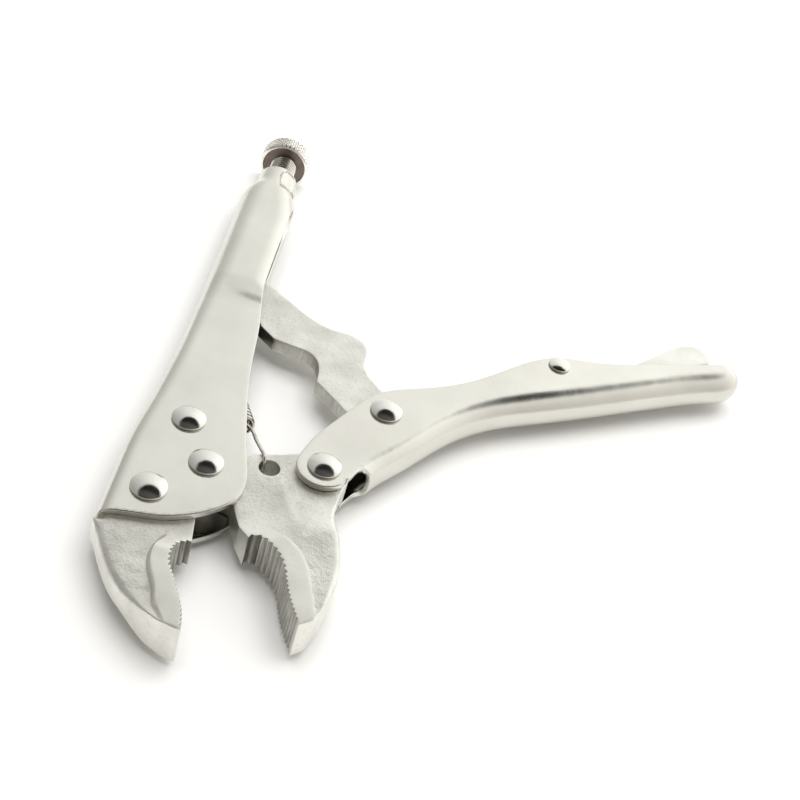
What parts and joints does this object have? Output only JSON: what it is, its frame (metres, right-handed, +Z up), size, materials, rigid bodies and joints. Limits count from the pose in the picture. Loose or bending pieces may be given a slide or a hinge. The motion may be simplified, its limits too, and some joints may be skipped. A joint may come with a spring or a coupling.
{
  "type": "locking pliers",
  "caption": "Curved-jaw locking pliers with folded sheet-steel handles, a toggle link, an adjusting screw and a release lever.",
  "frame": {"origin": "middle of the base of the tool's box, as it lies flat with the jaws open", "axes": "+Y along the adjusting screw towards its knob and +Z up from the face that it lies on; +X goes from the fixed handle towards the movable one"},
  "size_m": [0.1976, 0.2442, 0.0194],
  "materials": {
    "nickel_sheet": "satin nickel plate on rolled sheet",
    "forged_steel": "blasted and nickel-plated forging",
    "polished_rivet": "polished nickel",
    "screw_steel": "machined and nickel-plated",
    "spring_wire": "drawn spring wire"
  },
  "bodies": {
    "fixed_handle": {"fixed_handle": "nickel_sheet", "fixed_jaw": "forged_steel", "fixed_jaw_rear_rivet": "polished_rivet", "fixed_jaw_front_rivet": "polished_rivet", "jaw_pivot_rivet": "polished_rivet", "jaw_spring": "spring_wire"},
    "moving_jaw": {"moving_jaw": "forged_steel"},
    "movable_handle": {"movable_handle": "nickel_sheet", "handle_pivot_rivet": "polished_rivet", "link_pivot_rivet": "polished_rivet", "release_lever_rivet": "polished_rivet"},
    "toggle_link": {"toggle_link": "forged_steel"},
    "release_lever": {"release_lever": "forged_steel"},
    "screw_nose": {"screw_nose": "screw_steel"},
    "adjusting_screw": {"adjusting_screw": "screw_steel", "adjusting_knob": "screw_steel"}
  },
  "joints": [
    {"name": "jaw_pivot", "type": "hinge", "parent": "fixed_handle", "child": "moving_jaw", "pos_m": [-0.07378, -0.06015, 0.0097], "axis": [0, 0, 1], "range_deg": [-29, 0], "stiffness_Nm_per_rad": 0.47, "springref_deg": 41.25, "deforming": ["jaw_spring"]},
    {"name": "handle_pivot", "type": "hinge", "parent": "moving_jaw", "child": "movable_handle", "pos_m": [-0.03988, -0.04835, 0.0097], "axis": [0, 0, 1], "range_deg": [-1, 66]},
    {"name": "link_pivot", "type": "hinge", "parent": "movable_handle", "child": "toggle_link", "pos_m": [-0.02538, -0.01645, 0.0097], "axis": [0, 0, 1], "range_deg": [-54, 1]},
    {"name": "release_lever_pivot", "type": "hinge", "parent": "movable_handle", "child": "release_lever", "pos_m": [0.02962, 0.03035, 0.0097], "axis": [0, 0, 1], "range_deg": [-7, 0]},
    {"name": "screw_advance", "type": "slide", "parent": "fixed_handle", "child": "screw_nose", "axis": [0, 1, 0], "range_m": [0, 0.021]},
    {"name": "screw_turn", "type": "hinge", "parent": "screw_nose", "child": "adjusting_screw", "pos_m": [-0.08558, 0.10985, 0.0097], "axis": [0, 1, 0], "range_deg": [-20, 5060]}
  ],
  "couplings": [
    {"joint": "handle_pivot", "follows": "jaw_pivot", "ratio": -2.2},
    {"joint": "link_pivot", "follows": "jaw_pivot", "ratio": 1.8},
    {"joint": "screw_turn", "follows": "screw_advance", "rad_per_m": 4188.8}
  ]
}
